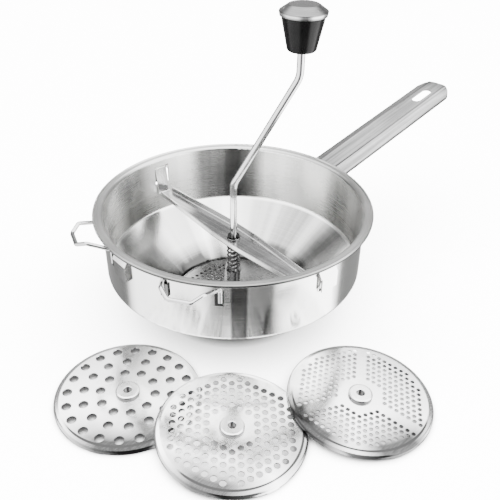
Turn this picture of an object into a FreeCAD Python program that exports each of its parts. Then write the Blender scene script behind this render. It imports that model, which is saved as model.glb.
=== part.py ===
import FreeCAD, Part
import math
import os

os.makedirs("parts", exist_ok=True)

V = FreeCAD.Vector
UP = V(0, 0, 1)
ORIGIN = V(0, 0, 0)

# ---------------------------------------------------------------------------
# Hand-cranked food mill of stainless sheet, millimetres.
# Origin: on the bowl's axis, in the plane that the disc seat stands on.
# +Z up the crank shaft, +X towards the handle.
# ---------------------------------------------------------------------------

# Bowl: one spun sheet with a flat flange, an upright wall, a cone and a disc seat
SHEET = 1.0
RIM_Z = 92.5
BOWL_R = 100.0
FLANGE_R = 107.5
BEAD_R = 1.3
BEAD_DROP = 0.7
CREASE_Z = 42.5
SEAT_R = 51.5
SEAT_TOP_Z = 5.8
LIP_R = 48.5
RIM_FOLD_R = 2.6
CREASE_FOLD_R = 2.0
SEAT_FOLD_R = 0.9

# Lanced pockets in the wall, open at the bottom; the first two hold the bar's ends
BAR_AZ = 86.0
POCKET_AZ = (BAR_AZ, BAR_AZ + 180.0, BAR_AZ + 90.0)
POCKET_Z = (69.5, 86.5)
POCKET_HALF_W = 8.0
POCKET_DEPTH = 2.9
POCKET_SHOULDER = 5.0
POCKET_ROOT = 0.2
SLIT_WIDTH = 1.3

# Long pan handle, a pressed channel that rises outwards
HANDLE_TIP_R = 283.0
HANDLE_ROOT_R = 101.0
HANDLE_ROOT_Z = 85.0
HANDLE_SLOPE = 10.7
HANDLE_HALF_W = 17.8
HANDLE_FLAT = 8.0
HANDLE_DROP = 3.2
HANDLE_LIP = 3.6
HANDLE_SHEET = 1.2
HANDLE_RIDGE = 0.25
HANDLE_RIDGE_HALF_W = 0.8
HANDLE_CORNER_R = 1.2
HANDLE_RIDGE_R = 0.3
HANDLE_TIP_FLAT = 3.2
HANDLE_PLATE_Z = (-18.0, 0.5)
HANDLE_PLATE_INSET = 2.0
HANG_SLOT = (254.5, 25.0, 9.0)

# Wire hooks that rest on a pan's rim
HOOK_AZ = (-149.5, 158.5)
HOOK_WIRE_R = 1.5
HOOK_BEND_R = 3.2
HOOK_ROOT_BEND_R = 2.6
HOOK_HALF_SPAN = 20.0
HOOK_LEG_Z = (75.5, 86.5)
HOOK_ELBOW = (116.5, 14.5, 92.1)
HOOK_NOSE = (122.7, 8.0, 88.9)
PADDLE_HALF_SPAN = 19.2
PADDLE_HALF_W = 2.9
PADDLE_SHEET = 1.6
PADDLE_Z = (72.5, 83.0)

# Bridge bar: an open channel across the bowl, widest at the shaft
BAR_Z = 59.5
BAR_SHEET = 0.9
BAR_HEIGHT = 5.2
BAR_MID_HALF_W = 12.0
BAR_END_HALF_W = 6.5
BAR_MID_REACH = 14.0
BAR_TAPER_R = 94.0
BAR_BEND_R = 1.9
BAR_PLAN_R = 30.0
TONGUE_HALF_W = 5.5
TONGUE_TOP_Z = 82.0
TONGUE_FOOT_R = 98.0
TONGUE_HEAD_R = 101.4
TONGUE_ROOT = 4.0
TONGUE_BEND_R = 2.1

# Flanged bush riveted in the bar, and the retaining ring above it
BUSH_R = 3.9
BUSH_FLANGE_R = 5.4
BUSH_FLANGE = 0.8
BUSH_EDGE_R = 0.3
CLIP_R = 4.8
CLIP_GAP = 0.3
CLIP_H = 1.2
CLIP_MOUTH = 2.6
CLIP_TURN = -95.0

# Crank: shaft and arm are one bent rod
ROD_R = 2.75
ROD_FOOT_Z = 2.2
CRANK_AZ = -45.0
CRANK_THROW = 46.0
LOWER_BEND_Z = 108.5
UPPER_BEND_Z = 192.5
ROD_TOP_Z = 230.9
LOWER_BEND_R = 13.0
UPPER_BEND_R = 18.0
RUNNING_GAP = 0.05

# Pressure spring between the bar and the blade
SPRING_R = 4.85
SPRING_WIRE_R = 0.8
SPRING_TURNS = 7
THRUST_R = 6.4
THRUST_GAP = 0.1
THRUST_H = 1.2

# Mashing blade: a half-round plate, tilted so that one straight end meets the disc
BLADE_R = 46.0
BLADE_SHEET = 1.2
BLADE_TILT = 15.0
BLADE_BACK = 8.0
BLADE_CORNER_R = 7.0
BLADE_GAP = 0.35
HUB_R = 5.5
HUB_Z = (14.0, 28.5)
PIN_R = 1.0
PIN_Z = 24.5

# Sieve discs: flat plate, sloped edge and turned-down skirt on six low feet
DISC_R = 51.0
DISC_H = 4.6
DISC_SHEET = 0.8
PLATE_R = 46.6
EDGE_WIDTH = 3.6
EDGE_DROP = 0.6
EDGE_BEND_R = 3.0
DISC_SHOULDER = 1.8
FOOT_COUNT = 6
FOOT_WIDTH = 9.0
FOOT_H = 0.9
DISC_HUB_R = 8.4
DISC_HUB_H = 2.6
HUB_SEAT_R = 5.0
HUB_RIVET_R = 7.0
HUB_RIVET_H = 1.2
HUB_TOP_EDGE_R = 1.2
HUB_EDGE_R = 0.5

# Perforations: hole radius, then rings as (radius, count, first azimuth), or a grid's pitch
# and the inner and outer radius between which its hole centres lie
COARSE_HOLE_R = 3.5
COARSE_RINGS = ((19.3, 10, 24.3), (31.0, 14, 3.9), (42.3, 20, 10.7))
MEDIUM_HOLE_R = 2.3
MEDIUM_PITCH = 6.5
MEDIUM_FIELD = (16.5, 44.0)
FINE_HOLE_R = 1.55
FINE_PITCH = 4.6
FINE_FIELD = (15.2, 44.6)
SPOKE_HALF_W = 5.0
FITTED_HOLE_R = 1.5
FITTED_PITCH = 5.0
FITTED_FIELD = (11.5, 42.5)

# Knob on the crank's upright end
KNOB_Z = (210.7, 233.9)
KNOB_R = (9.9, 14.9)
KNOB_BORE_R = 4.2
KNOB_EDGE_R = 0.6
KNOB_SHOULDER_R = 2.4
CAVITY_R = 7.2
CAVITY_Z = 228.1
SLEEVE_Z = 211.5
RETAINER_R = 5.6
RETAINER_Z = (228.7, 229.7)
CAP_R = 16.5
CAP_FOOT_R = 15.9
CAP_RIM_H = 3.1
CAP_TOP_R = 10.3
CAP_H = 7.4
CAP_PLUG_H = 1.6
CAP_EDGE_R = (0.5, 0.8, 1.2)
DIMPLE_R = 0.9
DIMPLE_LIFT = 0.2
DIMPLE_COUNT = 3
DIMPLE_AZ = 72.0

# Loose discs: x, y, turn, azimuth of the raised side, and tilt. Each but the first leans
# on the one before it.
COARSE_PLACE = (-132.0, -31.5, 0.0, 0.0, 0.0)
MEDIUM_PLACE = (-102.7, -106.8, 47.0, 111.3, 3.05)
FINE_PLACE = (-18.9, -148.0, 36.0, 118.5, 3.4)


def polar(azimuth, radius, z=0.0):
    """Point at a radius and azimuth in degrees about the bowl's axis."""
    a = math.radians(azimuth)
    return V(radius * math.cos(a), radius * math.sin(a), z)


def rounded_edges(points, radii, closed=False):
    """Edges through the points, with a tangent arc of the given radius at each corner."""
    count = len(points)
    starts, ends, arcs = [], [], []
    for i, corner in enumerate(points):
        radius = radii[i]
        if radius <= 0 or (not closed and i in (0, count - 1)):
            starts.append(corner)
            ends.append(corner)
            arcs.append(None)
            continue
        back = (points[i - 1] - corner).normalize()
        ahead = (points[(i + 1) % count] - corner).normalize()
        half = back.getAngle(ahead) / 2
        reach = radius / math.tan(half)
        middle = (back + ahead).normalize()
        centre = corner + middle * (radius / math.sin(half))
        first = corner + back * reach
        last = corner + ahead * reach
        starts.append(first)
        ends.append(last)
        arcs.append(Part.Arc(first, centre - middle * radius, last).toShape())
    edges = []
    for i in range(count):
        if arcs[i]:
            edges.append(arcs[i])
        if i == count - 1 and not closed:
            break
        a, b = ends[i], starts[(i + 1) % count]
        if a.distanceToPoint(b) > 1e-6:
            edges.append(Part.LineSegment(a, b).toShape())
    return edges


def outline(points, radii=None):
    """Closed flat face from corner points and corner radii."""
    radii = radii or [0.0] * len(points)
    return Part.Face(Part.Wire(rounded_edges(points, radii, closed=True)))


def revolve_profile(corners, radii=None):
    """Solid turned about Z from (radius, height) corners."""
    face = outline([V(r, 0, z) for r, z in corners], radii)
    return face.revolve(ORIGIN, UP, 360)


def turned(shape, azimuth):
    """Copy of a shape turned about Z."""
    copy = shape.copy()
    copy.rotate(ORIGIN, UP, azimuth)
    return copy


def ring(outer_r, inner_r, z0, z1):
    """Plain washer or sleeve about Z."""
    body = Part.makeCylinder(outer_r, z1 - z0, V(0, 0, z0))
    return body.cut(Part.makeCylinder(inner_r, z1 - z0 + 2, V(0, 0, z0 - 1)))


def wire_rod(points, radii, rod_r):
    """Round rod along a path of straight runs and tangent arcs."""
    path = Part.Wire(rounded_edges(points, radii))
    direction = points[1] - points[0]
    section = Part.Wire(Part.makeCircle(rod_r, points[0], direction))
    return path.makePipeShell([section], True, False)


def save(shape, node):
    solid = shape.removeSplitter()
    solid.exportStep("parts/%s.step" % node)
    print(node, "solids", len(solid.Solids), "valid", solid.isValid(),
          "volume %.0f" % solid.Volume)


# ---------------------------------------------------------------------------
# Bowl group
# ---------------------------------------------------------------------------

def pocket_prism(corners, half_width, azimuth):
    """Radial section extruded along the wall at an azimuth."""
    face = outline([V(r, -half_width, z) for r, z in corners])
    return turned(face.extrude(V(0, 2 * half_width, 0)), azimuth)


def make_bowl():
    slope = (SEAT_TOP_Z - CREASE_Z) / (SEAT_R - BOWL_R)
    lean = math.hypot(1, slope)
    outer_crease = CREASE_Z - SHEET * lean + slope * SHEET
    outer_seat = SEAT_TOP_Z - SHEET * lean + slope * SHEET
    corners = [
        (FLANGE_R - BEAD_R, RIM_Z), (BOWL_R, RIM_Z), (BOWL_R, CREASE_Z), (SEAT_R, SEAT_TOP_Z),
        (SEAT_R, SHEET), (LIP_R, SHEET), (LIP_R, 0), (SEAT_R + SHEET, 0),
        (SEAT_R + SHEET, outer_seat), (BOWL_R + SHEET, outer_crease),
        (BOWL_R + SHEET, RIM_Z - SHEET), (FLANGE_R - BEAD_R, RIM_Z - SHEET),
    ]
    crease_outer_r = CREASE_FOLD_R + SHEET
    radii = [0, RIM_FOLD_R, CREASE_FOLD_R, CREASE_FOLD_R, 0, 0, 0, SEAT_FOLD_R, CREASE_FOLD_R - SHEET,
             crease_outer_r, RIM_FOLD_R - SHEET, 0]
    bowl = revolve_profile(corners, radii)
    bead = Part.makeTorus(FLANGE_R - BEAD_R, BEAD_R, V(0, 0, RIM_Z - BEAD_DROP))
    bowl = bowl.fuse(bead)
    low, high = POCKET_Z
    bulge = BOWL_R + SHEET + POCKET_DEPTH
    shoulder = high - POCKET_SHOULDER
    outside = [(BOWL_R + POCKET_ROOT, high), (BOWL_R + SHEET, high), (bulge, shoulder),
               (bulge, low), (BOWL_R + POCKET_ROOT, low)]
    inside = [(BOWL_R - 2, high - SHEET), (BOWL_R, high - SHEET),
              (bulge - SHEET, shoulder - SHEET), (bulge - SHEET, low - SHEET),
              (BOWL_R - 2, low - SHEET)]
    slit_r = BOWL_R + SHEET + POCKET_ROOT / 2
    side_slit = [(slit_r, shoulder - SHEET), (bulge + SHEET, shoulder - SHEET),
                 (bulge + SHEET, low - SHEET), (slit_r, low - SHEET)]
    for azimuth in POCKET_AZ:
        bump = pocket_prism(outside, POCKET_HALF_W, azimuth)
        bowl = bowl.fuse(bump)
    for azimuth in POCKET_AZ:
        bowl = bowl.cut(pocket_prism(inside, POCKET_HALF_W - SHEET, azimuth))
        slit = outline([V(r, -POCKET_HALF_W - SHEET, z) for r, z in side_slit])
        bowl = bowl.cut(turned(slit.extrude(V(0, SHEET + SLIT_WIDTH, 0)), azimuth))
    return bowl


def handle_section(half_width, flat, drop, lip, raise_by, x):
    """Arched cross-section, closed underneath, in the plane at x."""
    ridge = flat + HANDLE_RIDGE_HALF_W
    half = [(half_width, -drop - lip), (half_width, -drop + raise_by),
            (ridge + HANDLE_RIDGE_HALF_W, raise_by), (ridge, raise_by + HANDLE_RIDGE),
            (flat, raise_by)]
    radii = [0, HANDLE_CORNER_R, 0, HANDLE_RIDGE_R, 0]
    points = [V(x, -y, z) for y, z in half] + [V(x, y, z) for y, z in reversed(half)]
    return outline(points, radii + radii[::-1])


def handle_plan(half_width, tip_x, z0, height):
    """Plan outline with a rounded tip, as a prism."""
    round_r = half_width - HANDLE_TIP_FLAT
    points = [V(-20, -half_width, z0), V(tip_x, -half_width, z0),
              V(tip_x, half_width, z0), V(-20, half_width, z0)]
    return outline(points, [0, round_r, round_r, 0]).extrude(V(0, 0, height))


def make_handle():
    length = (HANDLE_TIP_R - HANDLE_ROOT_R) / math.cos(math.radians(HANDLE_SLOPE))
    outer = handle_section(HANDLE_HALF_W, HANDLE_FLAT, HANDLE_DROP, HANDLE_LIP, 0.0, -6.0)
    outer = outer.extrude(V(length + 12, 0, 0))
    outer = outer.common(handle_plan(HANDLE_HALF_W, length, -20, 40))
    inner = handle_section(HANDLE_HALF_W - HANDLE_SHEET, HANDLE_FLAT, HANDLE_DROP,
                           HANDLE_LIP + 6, -HANDLE_SHEET, -8.0)
    inner = inner.extrude(V(length + 16, 0, 0))
    inner = inner.common(handle_plan(HANDLE_HALF_W - HANDLE_SHEET, length - HANDLE_SHEET, -30, 60))
    shell = outer.cut(inner)
    centre, slot_length, slot_width = HANG_SLOT
    slot_x = (centre - HANDLE_ROOT_R) / math.cos(math.radians(HANDLE_SLOPE))
    r = slot_width / 2
    slot = Part.makeBox(slot_length - slot_width, slot_width, 20,
                        V(slot_x - slot_length / 2 + r, -r, -10))
    for end in (-1, 1):
        x = slot_x + end * (slot_length / 2 - r)
        slot = slot.fuse(Part.makeCylinder(r, 20, V(x, 0, -10)))
    shell = shell.cut(slot)
    shell.rotate(ORIGIN, V(0, 1, 0), -HANDLE_SLOPE)
    shell.translate(V(HANDLE_ROOT_R, 0, HANDLE_ROOT_Z))
    wall_r = BOWL_R + SHEET
    low, high = [HANDLE_ROOT_Z + z for z in HANDLE_PLATE_Z]
    root_plate = ring(wall_r + HANDLE_SHEET, wall_r, low, high)
    plate_half_w = HANDLE_HALF_W - HANDLE_PLATE_INSET
    root_plate = root_plate.common(
        Part.makeBox(wall_r, 2 * plate_half_w, RIM_Z, V(wall_r / 2, -plate_half_w, 0)))
    shell = shell.cut(Part.makeCylinder(wall_r, RIM_Z, ORIGIN))
    return shell.fuse(root_plate)


def make_hook(azimuth):
    """Bent wire loop with two flattened ends welded to the wall."""
    wall_r = BOWL_R + SHEET
    leg_x = math.sqrt((wall_r + HOOK_WIRE_R) ** 2 - HOOK_HALF_SPAN ** 2)
    half = [V(leg_x, HOOK_HALF_SPAN, HOOK_LEG_Z[0]), V(leg_x, HOOK_HALF_SPAN, HOOK_LEG_Z[1]),
            V(*HOOK_ELBOW), V(*HOOK_NOSE)]
    other = [V(p.x, -p.y, p.z) for p in reversed(half)]
    root, bend = HOOK_ROOT_BEND_R, HOOK_BEND_R
    hook = wire_rod(half + other, [0, root, bend, bend, bend, bend, root, 0], HOOK_WIRE_R)
    low, high = PADDLE_Z
    for side in (-1, 1):
        paddle = ring(wall_r + PADDLE_SHEET, wall_r, low, high)
        start = side * PADDLE_HALF_SPAN - PADDLE_HALF_W
        paddle = paddle.common(Part.makeBox(wall_r, 2 * PADDLE_HALF_W, high - low,
                                            V(wall_r / 2, start, low)))
        hook = hook.fuse(paddle)
    return turned(hook.cut(Part.makeCylinder(wall_r, RIM_Z, ORIGIN)), azimuth)


def bar_plan(mid, end, reach, z0, height):
    """Prism over the bar's plan: widest in the middle, narrower at the ends."""
    near = BAR_MID_REACH
    points = [V(reach, -end, z0), V(reach, end, z0), V(near, mid, z0), V(-near, mid, z0),
              V(-reach, end, z0), V(-reach, -end, z0), V(-near, -mid, z0), V(near, -mid, z0)]
    radii = [0, 0, BAR_PLAN_R, BAR_PLAN_R] * 2
    return outline(points, radii).extrude(V(0, 0, height))


def round_underside(prism, z, radius):
    """Round the long bottom edges of a prism."""
    edges = [e for e in prism.Edges
             if abs(e.BoundBox.ZMin - z) < 0.01 and abs(e.BoundBox.ZMax - z) < 0.01
             and e.BoundBox.XLength > 1.0]
    return prism.makeFillet(radius, edges)


def make_bridge_bar():
    tray = bar_plan(BAR_MID_HALF_W, BAR_END_HALF_W, BAR_TAPER_R, BAR_Z, BAR_HEIGHT)
    tray = round_underside(tray, BAR_Z, BAR_BEND_R)
    floor_z = BAR_Z + BAR_SHEET
    hollow = bar_plan(BAR_MID_HALF_W - BAR_SHEET, BAR_END_HALF_W - BAR_SHEET,
                      BAR_TAPER_R + BAR_SHEET, floor_z, BAR_HEIGHT)
    hollow = round_underside(hollow, floor_z, BAR_BEND_R - BAR_SHEET)
    bar = tray.cut(hollow)
    slope = (TONGUE_HEAD_R - TONGUE_FOOT_R) / (TONGUE_TOP_Z - BAR_Z)
    half = BAR_SHEET / 2
    root_r = BAR_TAPER_R - TONGUE_ROOT
    section = [(root_r, BAR_Z), (TONGUE_FOOT_R + half, BAR_Z), (TONGUE_HEAD_R + half, TONGUE_TOP_Z),
               (TONGUE_HEAD_R - half, TONGUE_TOP_Z),
               (TONGUE_FOOT_R - half + slope * BAR_SHEET, floor_z), (root_r, floor_z)]
    tongue = outline([V(r, -TONGUE_HALF_W, z) for r, z in section],
                     [0, TONGUE_BEND_R, 0, 0, TONGUE_BEND_R - BAR_SHEET, 0])
    tongue = tongue.extrude(V(0, 2 * TONGUE_HALF_W, 0))
    for azimuth in (0, 180):
        bar = bar.fuse(turned(tongue, azimuth))
    bar = bar.cut(Part.makeCylinder(BUSH_R, RIM_Z, ORIGIN))
    return turned(bar, BAR_AZ)


def make_bar_bush():
    """Flanged bush that carries the shaft in the bar, spun over above and below."""
    bore = ROD_R + RUNNING_GAP
    floor_z = BAR_Z + BAR_SHEET
    corners = [(bore, BAR_Z - BUSH_FLANGE), (BUSH_FLANGE_R, BAR_Z - BUSH_FLANGE),
               (BUSH_FLANGE_R, BAR_Z), (BUSH_R, BAR_Z), (BUSH_R, floor_z),
               (BUSH_FLANGE_R, floor_z), (BUSH_FLANGE_R, floor_z + BUSH_FLANGE),
               (bore, floor_z + BUSH_FLANGE)]
    return revolve_profile(corners, [0, BUSH_EDGE_R, 0, 0, 0, 0, BUSH_EDGE_R, 0])


# ---------------------------------------------------------------------------
# Sieve discs, each modelled standing on its feet at the origin
# ---------------------------------------------------------------------------

def hex_grid(pitch, field):
    """Centres of a hexagonal grid between two radii."""
    blank_r, field_r = field
    row_pitch = pitch * math.sqrt(3) / 2
    rows = int(field_r / row_pitch) + 1
    centres = []
    for row in range(-rows, rows + 1):
        y = row * row_pitch
        shift = (row % 2) * pitch / 2
        for column in range(-rows, rows + 1):
            x = column * pitch + shift
            if blank_r < math.hypot(x, y) <= field_r:
                centres.append((x, y))
    return centres


def coarse_holes():
    """Three rings of large holes."""
    centres = []
    for radius, count, start in COARSE_RINGS:
        for i in range(count):
            p = polar(start + 360.0 * i / count, radius)
            centres.append((p.x, p.y))
    return centres


def fine_holes():
    """Three fields of small holes, parted by three blank spokes."""
    blank_r, field_r = FINE_FIELD
    rows = int(field_r / FINE_PITCH) + 2
    apex = SPOKE_HALF_W / math.sin(math.radians(60))
    centres = []
    for sector in (0.0, 120.0, 240.0):
        along, across = polar(sector, FINE_PITCH), polar(sector + 120, FINE_PITCH)
        corner = polar(sector + 60, apex)
        for i in range(rows):
            for j in range(rows):
                p = corner + along * i + across * j
                if blank_r < p.Length < field_r:
                    centres.append((p.x, p.y))
    return centres


def make_disc(centres, hole_r):
    top, under = DISC_H, DISC_H - DISC_SHEET
    wires = [Part.Wire(Part.makeCircle(PLATE_R, V(0, 0, under)))]
    wires.append(Part.Wire(Part.makeCircle(HUB_SEAT_R, V(0, 0, under))))
    for x, y in centres:
        wires.append(Part.Wire(Part.makeCircle(hole_r, V(x, y, under))))
    plate = Part.makeFace(Part.Compound(wires), "Part::FaceMakerCheese")
    plate = plate.extrude(V(0, 0, DISC_SHEET))
    inner_r = DISC_R - DISC_SHEET
    bend_r = DISC_R - EDGE_WIDTH
    corners = [(PLATE_R, top), (bend_r, top), (DISC_R, top - EDGE_DROP), (DISC_R, 0),
               (inner_r, 0), (inner_r, under - EDGE_DROP), (bend_r, under), (PLATE_R, under)]
    radii = [0, EDGE_BEND_R, DISC_SHOULDER, 0, 0, DISC_SHOULDER - DISC_SHEET, EDGE_BEND_R, 0]
    skirt = revolve_profile(corners, radii)
    gap = ring(DISC_R + 1, bend_r, -1, FOOT_H)
    for i in range(FOOT_COUNT):
        keep = Part.makeBox(DISC_R, FOOT_WIDTH, DISC_H, V(DISC_R / 2, -FOOT_WIDTH / 2, -2))
        gap = gap.cut(turned(keep, 360.0 * (i + 0.5) / FOOT_COUNT))
    return plate.fuse(skirt.cut(gap))


def make_disc_hub():
    """Round boss riveted through the disc's centre, bored for the shaft's foot."""
    bore = ROD_R + RUNNING_GAP
    top, under = DISC_H, DISC_H - DISC_SHEET
    foot = under - HUB_RIVET_H
    corners = [(bore, foot), (HUB_RIVET_R, foot), (HUB_RIVET_R, under), (HUB_SEAT_R, under),
               (HUB_SEAT_R, top), (DISC_HUB_R, top), (DISC_HUB_R, top + DISC_HUB_H),
               (bore, top + DISC_HUB_H)]
    return revolve_profile(corners, [0, HUB_EDGE_R, 0, 0, 0, 0, HUB_TOP_EDGE_R, HUB_EDGE_R])


def laid(shape, place):
    """Shape turned, laid on the floor at (x, y), one side raised by a tilt."""
    x, y, turn, uphill, tilt = place
    copy = turned(shape, turn)
    if tilt:
        copy.rotate(ORIGIN, polar(uphill - 90.0, 1.0), tilt)
    copy.translate(V(x, y, DISC_R * math.sin(math.radians(tilt))))
    return copy


# ---------------------------------------------------------------------------
# Crank group
# ---------------------------------------------------------------------------

def hub_pin():
    pin = Part.makeCylinder(PIN_R, 2 * HUB_R, V(0, -HUB_R, PIN_Z), V(0, 1, 0))
    return turned(pin, CRANK_AZ)


def make_crank_rod():
    points = [V(0, 0, ROD_FOOT_Z), V(0, 0, LOWER_BEND_Z), V(CRANK_THROW, 0, UPPER_BEND_Z),
              V(CRANK_THROW, 0, ROD_TOP_Z)]
    rod = wire_rod(points, [0, LOWER_BEND_R, UPPER_BEND_R, 0], ROD_R)
    return turned(rod, CRANK_AZ).cut(hub_pin())


def make_blade_hub():
    hub = ring(HUB_R, ROD_R, HUB_Z[0], HUB_Z[1])
    return hub.cut(hub_pin())


def make_blade():
    """Half-round plate through the hub, high on one side of the shaft and low on the other."""
    full = Part.makeCylinder(BLADE_R, BLADE_SHEET, V(0, 0, -BLADE_SHEET / 2))
    half = full.common(Part.makeBox(2 * BLADE_R, 2 * BLADE_R, BLADE_R,
                                    V(-BLADE_BACK, -BLADE_R, -BLADE_R / 2)))
    corners = [e for e in half.Edges if abs(e.Length - BLADE_SHEET) < 0.01
               and abs(e.Vertexes[0].Y) > BLADE_R / 2]
    half = half.makeFillet(BLADE_CORNER_R, corners)
    half.rotate(ORIGIN, V(1, 0, 0), -BLADE_TILT)
    low = half.BoundBox.ZMin
    half.translate(V(0, 0, SHEET + DISC_H + BLADE_GAP - low))
    blade = turned(half, CRANK_AZ)
    return blade.cut(Part.makeCylinder(HUB_R, RIM_Z, ORIGIN))


def make_shaft_clip():
    """Retaining ring on the shaft, above the bar."""
    z = BAR_Z + BAR_SHEET + BUSH_FLANGE + CLIP_GAP
    clip = ring(CLIP_R, ROD_R, z, z + CLIP_H)
    mouth = Part.makeBox(CLIP_R, CLIP_MOUTH, RIM_Z, V(ROD_R / 2, -CLIP_MOUTH / 2, 0))
    return turned(clip.cut(mouth), CLIP_TURN)


def make_spring():
    top = BAR_Z - BUSH_FLANGE - SPRING_WIRE_R
    bottom = HUB_Z[1] + 2 * THRUST_GAP + THRUST_H + SPRING_WIRE_R
    pitch = (top - bottom) / SPRING_TURNS
    helix = Part.makeHelix(pitch, top - bottom, SPRING_R)
    section = Part.Wire(Part.makeCircle(SPRING_WIRE_R, V(SPRING_R, 0, 0), V(0, 1, 0)))
    coil = Part.Wire(helix).makePipeShell([section], True, True)
    coil.translate(V(0, 0, bottom))
    return coil


def make_thrust_washer():
    z = HUB_Z[1] + THRUST_GAP
    return ring(THRUST_R, ROD_R + RUNNING_GAP, z, z + THRUST_H)


# ---------------------------------------------------------------------------
# Knob group, modelled on the Z axis and moved out to the crank's end
# ---------------------------------------------------------------------------

def at_crank_end(shape):
    copy = shape.copy()
    copy.translate(V(CRANK_THROW, 0, 0))
    return turned(copy, CRANK_AZ)


def make_knob_body():
    z0, z1 = KNOB_Z
    corners = [(KNOB_BORE_R, z0), (KNOB_R[0], z0), (KNOB_R[1], z1), (CAVITY_R, z1),
               (CAVITY_R, CAVITY_Z), (KNOB_BORE_R, CAVITY_Z)]
    radii = [KNOB_EDGE_R, KNOB_SHOULDER_R, KNOB_EDGE_R, 0, 0, 0]
    return at_crank_end(revolve_profile(corners, radii))


def make_knob_cap():
    """Pressed cap with an upright rim, a sloped shoulder and three dimples."""
    z = KNOB_Z[1]
    corners = [(0, z - CAP_PLUG_H), (CAVITY_R, z - CAP_PLUG_H), (CAVITY_R, z), (CAP_FOOT_R, z),
               (CAP_R, z + CAP_RIM_H), (CAP_TOP_R, z + CAP_H), (0, z + CAP_H)]
    cap = revolve_profile(corners, [0, 0, 0, *CAP_EDGE_R, 0])
    dimple_r = (CAP_R + CAP_TOP_R) / 2 + DIMPLE_LIFT
    dimple_z = z + (CAP_RIM_H + CAP_H) / 2 + DIMPLE_LIFT
    for i in range(DIMPLE_COUNT):
        centre = polar(DIMPLE_AZ + 360.0 * i / DIMPLE_COUNT, dimple_r, dimple_z)
        cap = cap.cut(Part.makeSphere(DIMPLE_R, centre))
    return at_crank_end(cap)


def make_knob_sleeve():
    return at_crank_end(ring(KNOB_BORE_R, ROD_R + RUNNING_GAP, SLEEVE_Z, CAVITY_Z))


def make_knob_retainer():
    return at_crank_end(ring(RETAINER_R, ROD_R, *RETAINER_Z))


def main():
    save(make_bowl(), "bowl")
    save(make_handle(), "handle")
    save(make_hook(HOOK_AZ[0]), "hook_front")
    save(make_hook(HOOK_AZ[1]), "hook_left")
    save(make_bridge_bar(), "bridge_bar")
    save(make_bar_bush(), "bar_bush")

    hub = make_disc_hub()
    fitted = make_disc(hex_grid(FITTED_PITCH, FITTED_FIELD), FITTED_HOLE_R)
    for shape, node in ((fitted, "disc_fitted"), (hub, "disc_fitted_hub")):
        shape = shape.copy()
        shape.translate(V(0, 0, SHEET))
        save(shape, node)
    loose = (("coarse", coarse_holes(), COARSE_HOLE_R, COARSE_PLACE),
             ("medium", hex_grid(MEDIUM_PITCH, MEDIUM_FIELD), MEDIUM_HOLE_R, MEDIUM_PLACE),
             ("fine", fine_holes(), FINE_HOLE_R, FINE_PLACE))
    for name, centres, hole_r, place in loose:
        save(laid(make_disc(centres, hole_r), place), "disc_" + name)
        save(laid(hub, place), "disc_" + name + "_hub")

    save(make_spring(), "pressure_spring")
    save(make_thrust_washer(), "thrust_washer")
    save(make_crank_rod(), "crank_rod")
    save(make_shaft_clip(), "shaft_clip")
    save(make_blade(), "blade")
    save(make_blade_hub(), "blade_hub")
    save(hub_pin(), "hub_pin")

    save(make_knob_body(), "knob_body")
    save(make_knob_cap(), "knob_cap")
    save(make_knob_sleeve(), "knob_sleeve")
    save(make_knob_retainer(), "knob_retainer")


main()
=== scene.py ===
import math

import bpy
from mathutils import Matrix, Vector


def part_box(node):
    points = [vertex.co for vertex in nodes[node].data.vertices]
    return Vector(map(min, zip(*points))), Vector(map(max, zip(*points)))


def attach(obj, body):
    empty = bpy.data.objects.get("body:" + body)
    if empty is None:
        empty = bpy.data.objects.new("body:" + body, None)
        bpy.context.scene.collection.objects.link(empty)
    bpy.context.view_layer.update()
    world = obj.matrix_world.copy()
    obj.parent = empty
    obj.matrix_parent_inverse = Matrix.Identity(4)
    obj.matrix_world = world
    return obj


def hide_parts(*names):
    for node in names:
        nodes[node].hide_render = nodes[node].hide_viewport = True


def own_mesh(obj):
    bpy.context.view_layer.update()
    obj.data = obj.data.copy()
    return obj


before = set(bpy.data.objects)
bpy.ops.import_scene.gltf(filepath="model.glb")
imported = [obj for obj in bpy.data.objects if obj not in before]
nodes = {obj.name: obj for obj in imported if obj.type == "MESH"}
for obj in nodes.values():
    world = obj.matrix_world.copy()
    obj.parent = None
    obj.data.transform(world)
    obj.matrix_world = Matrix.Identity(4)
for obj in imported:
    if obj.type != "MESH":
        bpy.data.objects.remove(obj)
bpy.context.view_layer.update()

scene = bpy.context.scene

# ---------------------------------------------------------------------------
# Camera: the photograph's viewpoint, in the part's frame, metres and degrees
# ---------------------------------------------------------------------------
CAMERA_PLACE = (-0.3001, -0.3189, 0.3436)
CAMERA_AZIMUTH = -45.0
CAMERA_PITCH = 33.99
CAMERA_ROLL = 0.84
CAMERA_LENS = 46.8
SENSOR = 36.0
CLIP_START = 0.01


def make_camera():
    data = bpy.data.cameras.new("camera")
    data.lens = CAMERA_LENS
    data.sensor_width = SENSOR
    data.clip_start = CLIP_START
    camera = bpy.data.objects.new("camera", data)
    scene.collection.objects.link(camera)
    pitch, roll = math.radians(CAMERA_PITCH), math.radians(CAMERA_ROLL)
    forward = Vector((0, math.cos(pitch), -math.sin(pitch)))
    right = Vector((1, 0, 0))
    up = right.cross(forward)
    right, up = (right * math.cos(roll) + up * math.sin(roll),
                 up * math.cos(roll) - right * math.sin(roll))
    turn = Matrix.Rotation(math.radians(CAMERA_AZIMUTH), 3, "Z")
    axes = [turn @ right, turn @ up, turn @ -forward]
    matrix = Matrix.Identity(4)
    for column, axis in enumerate(axes):
        for row in range(3):
            matrix[row][column] = axis[row]
        matrix[column][3] = CAMERA_PLACE[column]
    camera.matrix_world = matrix
    scene.camera = camera


make_camera()


# ---------------------------------------------------------------------------
# Shader helpers
# ---------------------------------------------------------------------------
STEEP_NORMAL_Z = (0.35, 0.65)
SMOOTH_GRAIN = 1.3          # noise cells per radian round a turned part


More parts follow.
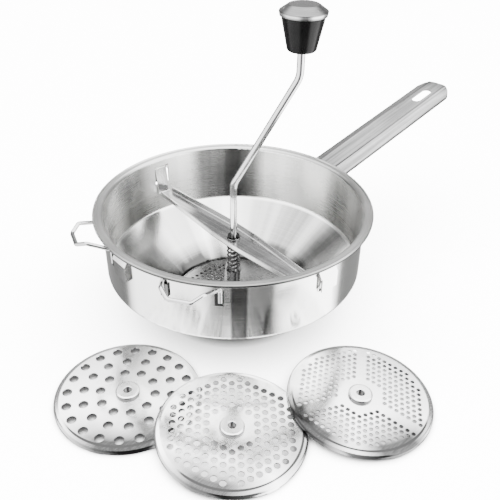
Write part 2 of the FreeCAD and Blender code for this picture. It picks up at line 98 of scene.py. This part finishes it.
class Tree:
    """Short calls for building the nodes of one material or world."""

    def __init__(self, owner, shader="Principled BSDF"):
        owner.use_nodes = True
        self.owner = owner
        self.tree = owner.node_tree
        self.shader = self.tree.nodes[shader]

    def feed(self, socket, value):
        """Link a socket's value, or set a constant on it."""
        if isinstance(value, bpy.types.NodeSocket):
            self.tree.links.new(value, socket)
        else:
            socket.default_value = value

    def node(self, kind, **inputs):
        made = self.tree.nodes.new(kind)
        for name, value in inputs.items():
            self.feed(made.inputs[name], value)
        return made

    def set(self, **values):
        """Feed the shader's sockets; an underscore stands for a space."""
        for name, value in values.items():
            self.feed(self.shader.inputs[name.replace("_", " ")], value)

    def math(self, operation, *values):
        made = self.tree.nodes.new("ShaderNodeMath")
        made.operation = operation
        for socket, value in zip(made.inputs, values):
            self.feed(socket, value)
        return made.outputs[0]

    def add(self, first, *others):
        for value in others:
            first = self.math("ADD", first, value)
        return first

    def times(self, first, *others):
        for value in others:
            first = self.math("MULTIPLY", first, value)
        return first

    def invert(self, value):
        return self.math("SUBTRACT", 1.0, value)

    def length(self, x, y):
        return self.math("SQRT", self.add(self.times(x, x), self.times(y, y)))

    def position(self):
        return self.tree.nodes.new("ShaderNodeTexCoord").outputs["Object"]

    def parts(self, vector):
        return self.node("ShaderNodeSeparateXYZ", Vector=vector).outputs[:3]

    def vector(self, x, y, z):
        return self.node("ShaderNodeCombineXYZ", X=x, Y=y, Z=z).outputs[0]

    def grey(self, tone):
        return self.node("ShaderNodeCombineColor", Red=tone, Green=tone, Blue=tone).outputs[0]

    def noise(self, vector, scale, detail=3.0, roughness=0.55):
        made = self.node("ShaderNodeTexNoise", Vector=vector, Scale=scale, Detail=detail,
                         Roughness=roughness)
        return made.outputs["Fac"]

    def span(self, value, low, high, to_low=0.0, to_high=1.0):
        """Map low..high to to_low..to_high, and hold the ends."""
        made = self.tree.nodes.new("ShaderNodeMapRange")
        made.clamp = True
        limits = (("Value", value), ("From Min", low), ("From Max", high), ("To Min", to_low),
                  ("To Max", to_high))
        for name, limit in limits:
            self.feed(made.inputs[name], limit)
        return made.outputs["Result"]

    def between(self, value, rise, fall):
        """1 from the end of rise to the start of fall, 0 outside them."""
        return self.times(self.span(value, *rise), self.span(value, *fall, 1.0, 0.0))

    def steepness(self):
        """1 on upright faces, 0 on level ones."""
        geometry = self.tree.nodes.new("ShaderNodeNewGeometry")
        _, _, z = self.parts(geometry.outputs["True Normal"])
        return self.span(self.math("ABSOLUTE", z), *STEEP_NORMAL_Z, 1.0, 0.0)

    def lobes(self, x, y, rows, start=0.0):
        """Start plus an amount inside each sector.

        rows: azimuth, outer and inner half width in degrees, amount.
        """
        level = start
        for azimuth, outer, inner, amount in rows:
            a = math.radians(azimuth)
            aim = self.add(self.times(x, math.cos(a)), self.times(y, math.sin(a)))
            sector = self.span(aim, math.cos(math.radians(outer)), math.cos(math.radians(inner)),
                               0.0, amount)
            level = self.add(sector, level)
        return level

    def bump(self, height, strength, distance, before=None):
        made = self.node("ShaderNodeBump", Strength=strength, Distance=distance, Height=height)
        if before is not None:
            self.feed(made.inputs["Normal"], before)
        return made.outputs["Normal"]


def new_material(name):
    return Tree(bpy.data.materials.new(name))


def dress(material, *names):
    for name in names:
        mesh = nodes[name].data
        mesh.materials.clear()
        mesh.materials.append(material)


def around(t, centre=(0.0, 0.0)):
    """Place round an upright axis: unit x and y, angle, radius and height."""
    x, y, z = t.parts(t.position())
    x = t.math("SUBTRACT", x, centre[0])
    y = t.math("SUBTRACT", y, centre[1])
    radius = t.length(x, y)
    angle = t.math("ARCTAN2", y, x)
    return t.math("DIVIDE", x, radius), t.math("DIVIDE", y, radius), angle, radius, z


# ---------------------------------------------------------------------------
# Stainless steel
# ---------------------------------------------------------------------------
FINE_GRAIN = {"x": (30.0, 2200.0, 2200.0), "y": (2200.0, 30.0, 2200.0),
              "z": (2200.0, 2200.0, 30.0)}
TURNED_GRAIN = 2600.0
CLOUD_SCALE = 26.0
SMEAR_SCALE = 95.0
SCRATCH_SCALE = 0.35
SCRATCH_WIDTH = 0.03
SCRATCH_ROUGH = 0.05
ROUGH_SPREAD = 0.08
DARKEST = 0.03
GRAIN_DEPTH = 0.00005
CLOUD_DEPTH = 0.0008
CLOUD_BUMP = 0.08


def steel(name, grain, base, rough, grain_bump=0.15, centre=(0.0, 0.0), shading=None):
    """Brushed stainless steel with uneven polish, faint smears and small scratches.

    grain: "round" for marks that run round an upright axis, "x", "y" or "z" for straight ones.
    shading(t, x, y, radius, z) may give a change of tone; x and y are unit vector parts.
    """
    t = new_material(name)
    place = t.position()
    x, y, angle, radius, z = around(t, centre)
    if grain == "round":
        along = t.vector(t.times(angle, SMOOTH_GRAIN), t.times(radius, TURNED_GRAIN),
                         t.times(z, TURNED_GRAIN))
    else:
        along = t.vector(*(t.times(part, scale)
                           for part, scale in zip(t.parts(place), FINE_GRAIN[grain])))
    brushed = t.noise(along, 1.0, 4.0, 0.62)
    clouds = t.noise(place, CLOUD_SCALE, 3.0, 0.5)
    smears = t.noise(place, SMEAR_SCALE, 4.0, 0.6)
    scratches = t.node("ShaderNodeTexVoronoi", Vector=along, Scale=SCRATCH_SCALE)
    scratches.feature = "DISTANCE_TO_EDGE"
    marks = t.span(scratches.outputs["Distance"], 0.0, SCRATCH_WIDTH, SCRATCH_ROUGH, 0.0)

    tone = t.add(t.span(brushed, 0.25, 0.75, -0.035, 0.035),
                 t.span(clouds, 0.3, 0.7, -0.02, 0.02), base)
    if shading:
        tone = t.add(tone, shading(t, x, y, radius, z))
    gloss = t.add(t.span(clouds, 0.3, 0.7, -ROUGH_SPREAD / 2, ROUGH_SPREAD / 2),
                  t.span(smears, 0.45, 0.75, 0.0, ROUGH_SPREAD),
                  t.span(brushed, 0.2, 0.8, -ROUGH_SPREAD / 3, ROUGH_SPREAD / 3),
                  marks, rough)
    normal = t.bump(clouds, CLOUD_BUMP, CLOUD_DEPTH, t.bump(brushed, grain_bump, GRAIN_DEPTH))
    t.set(Metallic=1.0, Base_Color=t.grey(t.math("MAXIMUM", tone, DARKEST)), Roughness=gloss,
          Normal=normal)
    return t.owner


# ---------------------------------------------------------------------------
# Bowl
# ---------------------------------------------------------------------------
# Painted reflection bands, darker tone: azimuth, outer and inner half width in degrees, change
# of tone
FLANGE_REFLECTION_BANDS = ((-135.0, 60.0, 20.0, -0.32), (-5.0, 40.0, 10.0, -0.22))
WALL_REFLECTION_BANDS = ((50.0, 20.0, 13.0, -0.66), (-26.0, 28.0, 10.0, -0.34), (105.0, 14.0, 5.0, -0.5))
CONE_REFLECTION_BANDS = ((124.0, 18.0, 4.0, -0.45), (-10.0, 32.0, 8.0, -0.52), (60.0, 9.0, 2.0, -0.18),
              (22.0, 24.0, 6.0, -0.42), (88.0, 22.0, 8.0, -0.30))
OUTSIDE_REFLECTION_BANDS = ((-131.2, 3.6, 2.6, -0.66), (-114.0, 12.0, 3.0, -0.22),
                 (-75.0, 14.0, 5.0, -0.1), (-190.0, 10.0, 4.0, -0.25))
# Soft limits between the bowl's areas, metres
FLANGE_Z = (0.0905, 0.0910)
WALL_Z = (0.0415, 0.0435)
CONE_Z = (0.0405, 0.0425)
NECK_Z = (0.006, 0.019)
WALL_R = (0.1001, 0.1004)
OUTSIDE_R = (0.1003, 0.1006)
BEAD_R = (0.1060, 0.1066)
# Tone of each area, against the bowl's own
BOWL_TONE = 0.80
FLANGE_TONE = -0.30
WALL_TONE = 0.05
# painted shade: the cone darkens towards its foot
NECK_SHADE_TONE = -0.62
# painted shade: a dark line on the steep faces under the outer rim
BEAD_SHADE_TONE = -0.40
# random vertical streaks of painted reflection on the wall, cone and outside
REFLECTION_STREAK_SPREAD = 0.10
# Roughness of the bowl, and what each area adds
BOWL_ROUGH = 0.17
FLANGE_ROUGH = 0.16
WALL_ROUGH = 0.10
OUTSIDE_ROUGH = -0.06
BOWL_GRAIN = 2400.0
BOWL_CLOUD_SCALE = 22.0
BOWL_REFLECTION_STREAK_SCALE = 3.4
BOWL_DARKEST = 0.05
WARMTH = 0.985              # blue, as a share of red and green


def bowl_steel():
    """The bowl's four finishes: satin flange, brushed wall, spun cone and polished outside, with
    painted reflection bands and streaks, and painted shade at the foot of the cone and under the
    outer rim.
    """
    t = new_material("bowl_steel")
    place = t.position()
    x, y, angle, radius, z = around(t)
    grain = t.vector(t.times(angle, SMOOTH_GRAIN), t.times(radius, BOWL_GRAIN),
                     t.times(z, BOWL_GRAIN))
    brushed = t.noise(grain, 1.0, 4.0, 0.62)
    clouds = t.noise(place, BOWL_CLOUD_SCALE, 3.0, 0.5)
    # painted reflection: random vertical streaks that vary round the bowl
    reflection_streak = t.span(t.noise(t.vector(x, y, 0.0), BOWL_REFLECTION_STREAK_SCALE, 3.0, 0.6), 0.35, 0.65,
                    -REFLECTION_STREAK_SPREAD, REFLECTION_STREAK_SPREAD)

    flange = t.span(z, *FLANGE_Z)
    outside = t.times(t.span(radius, *OUTSIDE_R), t.invert(flange))
    wall = t.times(t.invert(t.span(radius, *WALL_R)), t.span(z, *WALL_Z))
    cone = t.times(t.span(z, *CONE_Z, 1.0, 0.0), t.invert(outside))
    # painted shade on the steep faces under the outer rim
    under_bead_shade = t.times(t.span(radius, *BEAD_R), t.steepness())

    # painted shade darkening the cone towards its foot
    neck_shade = t.span(z, *NECK_Z, NECK_SHADE_TONE, 0.0)
    # tone: painted reflection bands and streaks on each area, plus the painted shade
    tone = t.add(
        t.span(brushed, 0.25, 0.75, -0.05, 0.05),
        t.span(clouds, 0.3, 0.7, -0.03, 0.03),
        BOWL_TONE,
        t.times(flange, t.lobes(x, y, FLANGE_REFLECTION_BANDS, FLANGE_TONE)),
        t.times(wall, t.add(reflection_streak, t.lobes(x, y, WALL_REFLECTION_BANDS, WALL_TONE))),
        t.times(cone, t.add(reflection_streak, neck_shade, t.lobes(x, y, CONE_REFLECTION_BANDS))),
        t.times(under_bead_shade, BEAD_SHADE_TONE),
        t.times(outside, t.add(t.times(reflection_streak, 0.5), t.lobes(x, y, OUTSIDE_REFLECTION_BANDS))))
    tone = t.math("MAXIMUM", tone, BOWL_DARKEST)
    colour = t.node("ShaderNodeCombineColor", Red=tone, Green=tone, Blue=t.times(tone, WARMTH))
    rough = t.add(t.span(clouds, 0.3, 0.7, -0.02, 0.03), t.span(brushed, 0.2, 0.8, -0.03, 0.03),
                  BOWL_ROUGH, t.times(flange, FLANGE_ROUGH), t.times(wall, WALL_ROUGH),
                  t.times(outside, OUTSIDE_ROUGH))
    normal = t.bump(clouds, 0.05, CLOUD_DEPTH, t.bump(brushed, 0.16, GRAIN_DEPTH))
    tangent = t.tree.nodes.new("ShaderNodeTangent")
    tangent.direction_type = "RADIAL"
    tangent.axis = "Z"
    t.set(Metallic=1.0, Base_Color=colour.outputs[0], Roughness=rough, Normal=normal,
          Anisotropic=0.75, Anisotropic_Rotation=0.25, Tangent=tangent.outputs[0])
    return t.owner


dress(bowl_steel(), "bowl")


# ---------------------------------------------------------------------------
# Handle and hooks
# ---------------------------------------------------------------------------
HANDLE_ROOT_R = 0.101
HANDLE_ROOT_Z = 0.085
HANDLE_SLOPE = 10.7
HANDLE_REFLECTION_LINE_Y = ((0.0078, 0.0083), (0.0094, 0.0098))
HANDLE_TIP_R = (0.268, 0.282)
HANDLE_SHADE_R = (0.112, 0.170)
# painted shade on the steep faces of the lower folded edge, this far below the centre line
HEM_DROP = (0.0038, 0.0052)
# painted shade on the hooks' feet close to the wall
HOOK_FOOT_R = (0.1027, 0.1032)


def handle_shading(t, x, y, radius, z):
    """Long uneven brushing, a painted dark reflection line beside each fold, painted shade on
    the steep faces of the lower folded edge and near the root, and darker towards the tip.
    """
    length, width = t.times(x, radius), t.times(y, radius)
    brushing = t.noise(t.vector(t.times(length, 9.0), t.times(width, 420.0), 0.0), 1.0)
    # painted dark reflection line beside each fold
    line = t.between(t.math("ABSOLUTE", width), *HANDLE_REFLECTION_LINE_Y)
    rise = t.times(t.math("SUBTRACT", radius, HANDLE_ROOT_R),
                   math.tan(math.radians(HANDLE_SLOPE)))
    drop = t.math("SUBTRACT", t.add(rise, HANDLE_ROOT_Z), z)
    # painted shade on the lower folded edge
    hem_shade = t.times(t.span(drop, *HEM_DROP, 0.0, -0.24), t.steepness())
    return t.add(t.span(brushing, 0.35, 0.65, -0.08, 0.08), t.times(line, -0.12), hem_shade,
                 t.span(radius, *HANDLE_TIP_R, 0.0, -0.10),
                 t.span(radius, *HANDLE_SHADE_R, -0.06, 0.0))


def hook_shading(t, x, y, radius, z):
    """Painted shade on the feet close to the wall."""
    return t.span(radius, *HOOK_FOOT_R, -0.34, 0.0)


dress(steel("handle_steel", "x", 0.25, 0.3, shading=handle_shading), "handle")
dress(steel("wire_steel", "z", 0.46, 0.10, shading=hook_shading), "hook_front", "hook_left")


# ---------------------------------------------------------------------------
# Bar, shaft and what turns in it
# ---------------------------------------------------------------------------
BAR_WEB_Z = (0.0606, 0.0612)


def bar_shading(t, x, y, radius, z):
    """Painted shade on the level floor of the channel between the bent-up sides, with long
    drawing marks.
    """
    # painted shade in the channel
    web_shade = t.times(t.invert(t.steepness()), t.span(z, *BAR_WEB_Z, 1.0, 0.0))
    across, along = t.times(x, radius), t.times(y, radius)
    marks = t.noise(t.vector(t.times(across, 420.0), t.times(along, 12.0), 0.0), 1.0)
    return t.add(t.times(web_shade, -0.26), t.span(marks, 0.35, 0.65, -0.06, 0.06))


dress(steel("bar_steel", "y", 0.52, 0.18, shading=bar_shading), "bridge_bar")
dress(steel("blade_steel", "y", 0.16, 0.22), "blade")
dress(steel("rod_steel", "z", 0.62, 0.10), "crank_rod")
dress(steel("turned_steel", "round", 0.16, 0.2), "bar_bush", "disc_fitted_hub",
      "thrust_washer", "blade_hub", "hub_pin", "knob_sleeve")
# Near-black tone: painted reflection of the dark surroundings; the clip and retainer share it.
spring_steel = steel("spring_steel", "z", 0.04, 0.2)
dress(spring_steel, "pressure_spring", "shaft_clip", "knob_retainer")


# ---------------------------------------------------------------------------
# Sieve discs
# ---------------------------------------------------------------------------
# Radii of the painted shade, the painted dark reflection inside the rim and the painted shade on
# the hole walls
PATCH_R = (0.018, 0.044)
# painted dark reflection just inside the rim
CRESCENT_R = ((0.0465, 0.0471), (0.0476, 0.0483))
PERFORATED_R = (0.0455, 0.0460)
# painted shade on the walls of the holes
CUT_SHADE_TONE = -0.80
# painted dark reflection on the side of each hub's boss
HUB_SIDE_REFLECTION_TONE = -0.72
# For each disc, its painted shade towards the edge and its painted dark reflection inside the
# rim:
# azimuth, outer and inner half width in degrees, change of tone
DISC_PAINTED_SHADE_AND_REFLECTION = {
    "coarse": (((-130.0, 66.0, 20.0, -0.88),), ((-120.0, 75.0, 50.0, -0.8),)),
    "medium": (((-60.0, 40.0, 10.0, -0.60), (-150.0, 50.0, 12.0, -0.84)),
               ((-105.0, 75.0, 50.0, -0.8),)),
    "fine": (((172.0, 44.0, 18.0, -0.88), (-110.0, 42.0, 14.0, -0.87)),
             ((-140.0, 90.0, 60.0, -0.85),)),
}


def disc_shading(shade_patches, crescent_reflection):
    """Painted shade towards a disc's edge, painted shade on the hole walls, and a painted dark
    reflection inside the rim.
    """
    def shading(t, x, y, radius, z):
        # painted shade towards the edge
        painted_shade = t.times(t.lobes(x, y, shade_patches), t.span(radius, *PATCH_R))
        # painted shade on the walls of the holes
        cut_shade = t.times(t.steepness(), t.span(radius, *PERFORATED_R, CUT_SHADE_TONE, 0.0))
        # painted dark reflection just inside the rim
        line = t.times(t.between(radius, *CRESCENT_R), t.lobes(x, y, crescent_reflection))
        return t.add(painted_shade, cut_shade, line)
    return shading


def hub_shading(t, x, y, radius, z):
    """Painted dark reflection band round the side of a hub's raised boss."""
    return t.times(t.steepness(), HUB_SIDE_REFLECTION_TONE)


def centre_of(name):
    low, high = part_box(name)
    return ((low + high) / 2)[:2]


dress(steel("disc_steel", "x", 0.20, 0.18, shading=disc_shading((), ())), "disc_fitted")
for disc, (shade_patches, crescent_reflection) in DISC_PAINTED_SHADE_AND_REFLECTION.items():
    middle = centre_of("disc_" + disc)
    dress(steel("disc_steel_" + disc, "x", 0.92, 0.13, grain_bump=0.04, centre=middle,
                shading=disc_shading(shade_patches, crescent_reflection)), "disc_" + disc)
    dress(steel("hub_steel_" + disc, "round", 0.80, 0.2, centre=middle, shading=hub_shading),
          "disc_%s_hub" % disc)


# ---------------------------------------------------------------------------
# Knob
# ---------------------------------------------------------------------------
CAP_EDGE_R = (0.0160, 0.0163)
CAP_EDGE_DROP = 0.0048
CAP_EDGE_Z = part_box("knob_cap")[1][2] - CAP_EDGE_DROP
CAP_EDGE_SOFT = 0.0005
# painted highlight on the cap's rolled edge
CAP_EDGE_HIGHLIGHT = 0.5


def cap_shading(t, x, y, radius, z):
    """Painted highlight on the rolled edge round the foot of the cap."""
    low = t.span(z, CAP_EDGE_Z - CAP_EDGE_SOFT, CAP_EDGE_Z + CAP_EDGE_SOFT, 1.0, 0.0)
    return t.times(t.span(radius, *CAP_EDGE_R), low, CAP_EDGE_HIGHLIGHT)


def black_plastic():
    """Moulded plastic, faintly uneven in tone and gloss."""
    t = new_material("knob_plastic")
    place = t.position()
    fine = t.noise(place, 900.0, 3.0)
    broad = t.noise(place, 60.0, 2.0)
    t.set(Base_Color=t.grey(t.span(broad, 0.3, 0.7, 0.0008, 0.0018)),
          Roughness=t.add(t.span(fine, 0.3, 0.7, -0.03, 0.05), 0.2),
          Normal=t.bump(fine, 0.06, 0.0001), Specular_IOR_Level=0.10)
    return t.owner


dress(steel("cap_steel", "round", 0.13, 0.3, centre=centre_of("knob_body"),
            shading=cap_shading), "knob_cap")
dress(black_plastic(), "knob_body")


# ---------------------------------------------------------------------------
# Pressure spring: the same coil as the CAD node, as its own mesh attached to the spring seat
# ---------------------------------------------------------------------------
SPRING_WIRE_R = 0.0008
SPRING_TURNS = 7
STEPS_PER_TURN = 32
WIRE_SIDES = 14


def coil_mesh(coil_r, bottom, top):
    """A round wire swept along a helix about Z, with flat ends."""
    steps = SPRING_TURNS * STEPS_PER_TURN
    slope = math.atan2((top - bottom) / SPRING_TURNS, 2 * math.pi * coil_r)
    points, faces = [], []
    for i in range(steps + 1):
        turn = 2 * math.pi * i / STEPS_PER_TURN
        outward = Vector((math.cos(turn), math.sin(turn), 0))
        ahead = Vector((-math.sin(turn) * math.cos(slope), math.cos(turn) * math.cos(slope),
                        math.sin(slope)))
        side = ahead.cross(outward)
        middle = outward * coil_r + Vector((0, 0, bottom + (top - bottom) * i / steps))
        for k in range(WIRE_SIDES):
            a = 2 * math.pi * k / WIRE_SIDES
            points.append(middle + (outward * math.cos(a) + side * math.sin(a)) * SPRING_WIRE_R)
    for i in range(steps):
        near, far = i * WIRE_SIDES, (i + 1) * WIRE_SIDES
        for k in range(WIRE_SIDES):
            following = (k + 1) % WIRE_SIDES
            faces.append((near + k, near + following, far + following, far + k))
    faces.append(tuple(reversed(range(WIRE_SIDES))))
    faces.append(tuple(range(steps * WIRE_SIDES, (steps + 1) * WIRE_SIDES)))
    mesh = bpy.data.meshes.new("pressure_coil")
    mesh.from_pydata(points, [], faces)
    mesh.polygons.foreach_set("use_smooth", [len(face) == 4 for face in faces])
    return mesh


def make_spring():
    low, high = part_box("pressure_spring")
    mesh = coil_mesh((high[0] - low[0]) / 2 - SPRING_WIRE_R, low[2] + SPRING_WIRE_R,
                     high[2] - SPRING_WIRE_R)
    mesh.materials.append(spring_steel)
    mesh.validate()
    coil = bpy.data.objects.new("pressure_coil", mesh)
    scene.collection.objects.link(coil)
    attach(coil, "spring_seat")
    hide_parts("pressure_spring")
    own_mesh(coil)


make_spring()


# ---------------------------------------------------------------------------
# Studio
# ---------------------------------------------------------------------------
FLOOR_SIZE = 8.0
FLOOR_LIGHT = 34.0
FLOOR_LIGHT_ANGLE = 100.0
# painted shade close under the object: reach and darkest tone
CONTACT_SHADE_REACH = 0.012
CONTACT_SHADE_DARK = 0.05
# Reflected surroundings: azimuth, outer and inner half width in degrees, added brightness
RING = ((163.0, 46.0, 33.0, 4.0), (298.0, 37.0, 26.0, 8.0), (236.0, 24.0, 16.0, -0.10),
        (46.0, 30.0, 14.0, 0.5))
RING_DIM = 0.45
RING_DARKEST = 0.05
SOFTBOX = 8.0
SOFTBOX_ELEVATION = (40.0, 47.0)


def make_floor():
    """White paper with painted shade close under the object, from ambient occlusion; it isn't
    seen in reflections.
    """
    bpy.ops.mesh.primitive_plane_add(size=FLOOR_SIZE, location=(0, 0, 0))
    floor = bpy.context.object
    floor.name = "floor"
    t = new_material("floor_paper")
    paper = t.span(t.noise(t.position(), 300.0), 0.3, 0.7, 0.90, 0.93)
    # painted shade from ambient occlusion
    contact_shade = t.node("ShaderNodeAmbientOcclusion", Distance=CONTACT_SHADE_REACH)
    shade = t.span(contact_shade.outputs["AO"], 0.30, 0.9, CONTACT_SHADE_DARK, 1.0)
    t.set(Base_Color=t.grey(t.times(paper, shade)), Roughness=0.7)
    floor.data.materials.append(t.owner)
    floor.visible_glossy = False


def make_world():
    """Studio dome: a broad overhead softbox above a ring of upright boxes and dark flags."""
    scene.world = bpy.data.worlds.new("studio")
    t = Tree(scene.world, "Background")
    direction = t.tree.nodes.new("ShaderNodeTexCoord").outputs["Generated"]
    x, y, z = t.parts(direction)
    flat = t.length(x, y)
    ring = t.lobes(t.math("DIVIDE", x, flat), t.math("DIVIDE", y, flat), RING, RING_DIM)
    ring = t.math("MAXIMUM", ring, RING_DARKEST)
    over = t.span(z, *(math.sin(math.radians(angle)) for angle in SOFTBOX_ELEVATION))
    level = t.add(t.times(ring, t.invert(over)), t.times(over, SOFTBOX))
    t.set(Color=t.grey(level), Strength=1.0)


def make_floor_light():
    """Wide soft light for the paper; polished metal reflects the dome alone."""
    data = bpy.data.lights.new("overhead", "SUN")
    data.energy = FLOOR_LIGHT
    data.angle = math.radians(FLOOR_LIGHT_ANGLE)
    light = bpy.data.objects.new("overhead", data)
    light.visible_glossy = False
    scene.collection.objects.link(light)


make_floor()
make_world()
make_floor_light()
